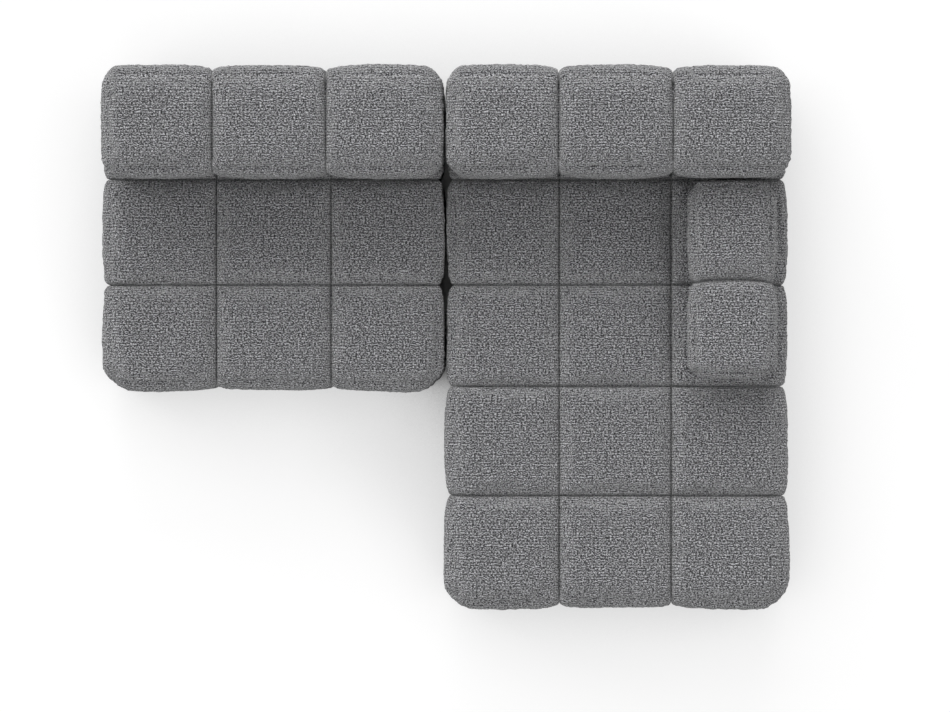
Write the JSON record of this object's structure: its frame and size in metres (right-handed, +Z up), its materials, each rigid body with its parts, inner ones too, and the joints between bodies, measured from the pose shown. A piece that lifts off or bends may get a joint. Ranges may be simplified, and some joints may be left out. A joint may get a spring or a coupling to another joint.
{
  "type": "modular sofa",
  "caption": "L-shaped modular sofa in grey woven cloth, tufted in square blocks, with lift-off back and arm bolsters and a module that slides away.",
  "frame": {"origin": "on the floor, under the middle of the sofa's bounding box", "axes": "+X towards the chaise side, +Y towards the back bolsters, +Z up"},
  "size_m": [2.0846, 1.642, 0.7203],
  "materials": {
    "cloth": "matte",
    "foam": "matte",
    "timber": "matte",
    "board": "matte",
    "webbing": "matte",
    "lining": "matte",
    "plastic": "satin",
    "steel": "satin"
  },
  "bodies": {
    "chaise": {"chaise_foot_front_left": "plastic", "chaise_foot_rear_left": "plastic", "chaise_foot_front_right": "plastic", "chaise_foot_rear_right": "plastic", "chaise_dust_cover": "lining", "chaise_rail_left": "timber", "chaise_rail_right": "timber", "chaise_rail_front": "timber", "chaise_rail_rear": "timber", "chaise_back_bearer": "timber", "chaise_strap_1": "webbing", "chaise_strap_2": "webbing", "chaise_strap_3": "webbing", "chaise_strap_4": "webbing", "chaise_seat_foam": "foam", "chaise_seat_cover": "cloth", "chaise_back_socket_left": "steel", "chaise_back_socket_right": "steel", "chaise_cross_rail": "timber", "chaise_arm_bearer": "timber", "arm_socket_front": "steel", "arm_socket_rear": "steel", "chaise_jaw_front": "steel", "chaise_jaw_rear": "steel"},
    "loveseat": {"loveseat_foot_front_left": "plastic", "loveseat_foot_rear_left": "plastic", "loveseat_foot_front_right": "plastic", "loveseat_foot_rear_right": "plastic", "loveseat_dust_cover": "lining", "loveseat_rail_left": "timber", "loveseat_rail_right": "timber", "loveseat_rail_front": "timber", "loveseat_rail_rear": "timber", "loveseat_back_bearer": "timber", "loveseat_strap_1": "webbing", "loveseat_strap_2": "webbing", "loveseat_strap_3": "webbing", "loveseat_strap_4": "webbing", "loveseat_seat_foam": "foam", "loveseat_seat_cover": "cloth", "loveseat_back_socket_left": "steel", "loveseat_back_socket_right": "steel", "loveseat_tongue_front": "steel", "loveseat_tongue_rear": "steel"},
    "chaise_back": {"chaise_back_board": "board", "chaise_back_foam": "foam", "chaise_back_cover": "cloth", "chaise_back_prong_left": "steel", "chaise_back_prong_right": "steel"},
    "loveseat_back": {"loveseat_back_board": "board", "loveseat_back_foam": "foam", "loveseat_back_cover": "cloth", "loveseat_back_prong_left": "steel", "loveseat_back_prong_right": "steel"},
    "arm": {"arm_board": "board", "arm_foam": "foam", "arm_cover": "cloth", "arm_prong_front": "steel", "arm_prong_rear": "steel"}
  },
  "joints": [
    {"name": "loveseat_slide", "type": "slide", "parent": "chaise", "child": "loveseat", "axis": [-1, 0, 0], "range_m": [0, 0.3]},
    {"name": "chaise_back_lift", "type": "slide", "parent": "chaise", "child": "chaise_back", "axis": [0, 0, 1], "range_m": [0, 0.28]},
    {"name": "loveseat_back_lift", "type": "slide", "parent": "loveseat", "child": "loveseat_back", "axis": [0, 0, 1], "range_m": [0, 0.28]},
    {"name": "arm_lift", "type": "slide", "parent": "chaise", "child": "arm", "axis": [0, 0, 1], "range_m": [0, 0.28]}
  ]
}
